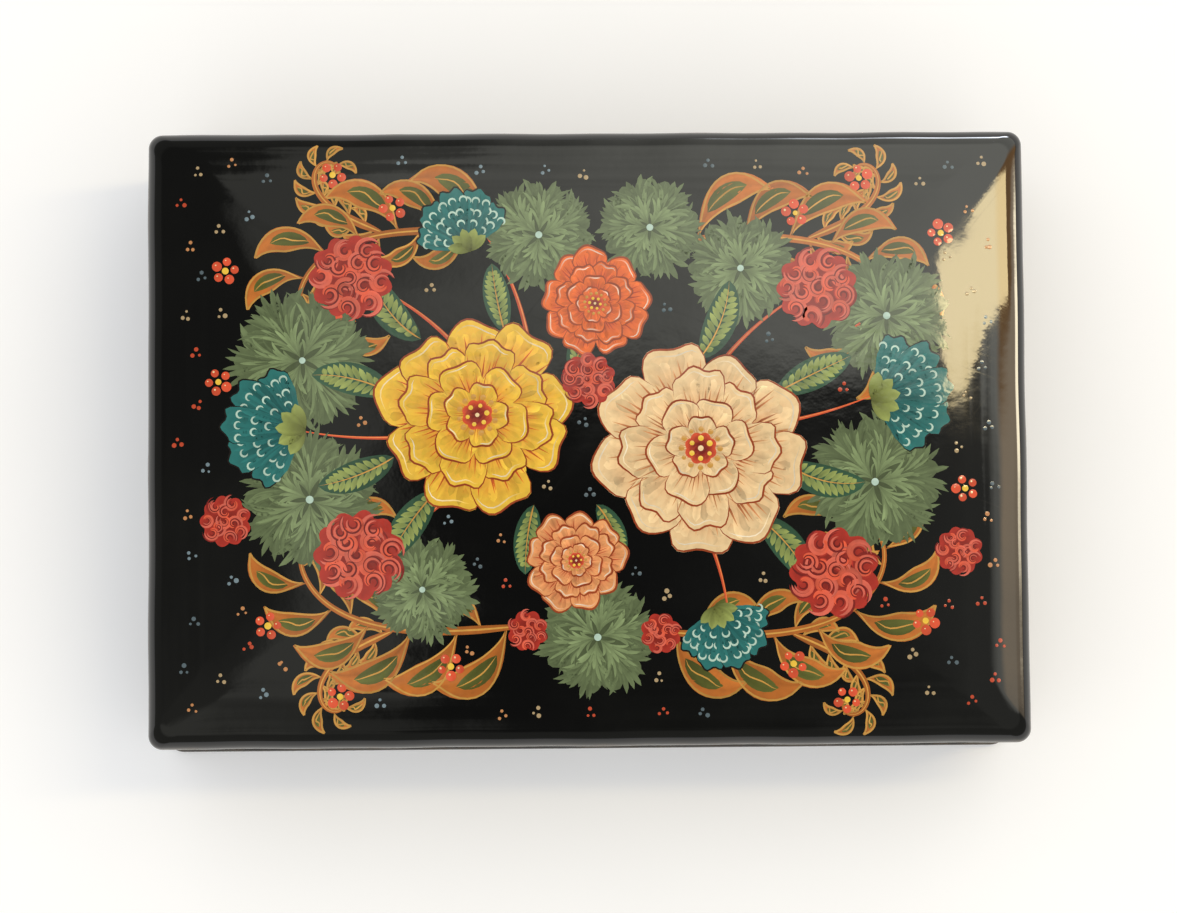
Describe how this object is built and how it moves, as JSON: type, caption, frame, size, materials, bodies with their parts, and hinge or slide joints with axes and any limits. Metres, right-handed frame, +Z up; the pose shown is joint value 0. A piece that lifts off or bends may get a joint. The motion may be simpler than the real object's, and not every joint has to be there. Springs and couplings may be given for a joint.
{
  "type": "hinged lacquer box",
  "caption": "Flat rectangular papier-mache box in black lacquer, with a cushion-shaped lid on a knuckle hinge, a red inside and a raised inner lip.",
  "frame": {"origin": "middle of the bottom board's underside, on the surface the box stands on", "axes": "+X along the length, +Y towards the hinge at the back, +Z up"},
  "size_m": [0.127, 0.089, 0.0313],
  "materials": {
    "black_lacquer": "gloss",
    "red_lacquer": "gloss",
    "hinge_wire": "satin"
  },
  "bodies": {
    "body": {"bottom_board": "black_lacquer", "body_wall": "black_lacquer", "inner_lip": "red_lacquer", "body_knuckle_left": "black_lacquer", "body_knuckle_middle": "black_lacquer", "body_knuckle_right": "black_lacquer", "hinge_pin": "hinge_wire", "pin_plug_left": "black_lacquer", "pin_plug_right": "black_lacquer"},
    "lid": {"lid_board": "black_lacquer", "lid_rim": "black_lacquer", "lid_knuckle_left": "black_lacquer", "lid_knuckle_right": "black_lacquer"}
  },
  "joints": [
    {"name": "lid_hinge", "type": "hinge", "parent": "body", "child": "lid", "pos_m": [0, 0.0424, 0.0204], "axis": [-1, 0, 0], "range_deg": [0, 102]}
  ]
}
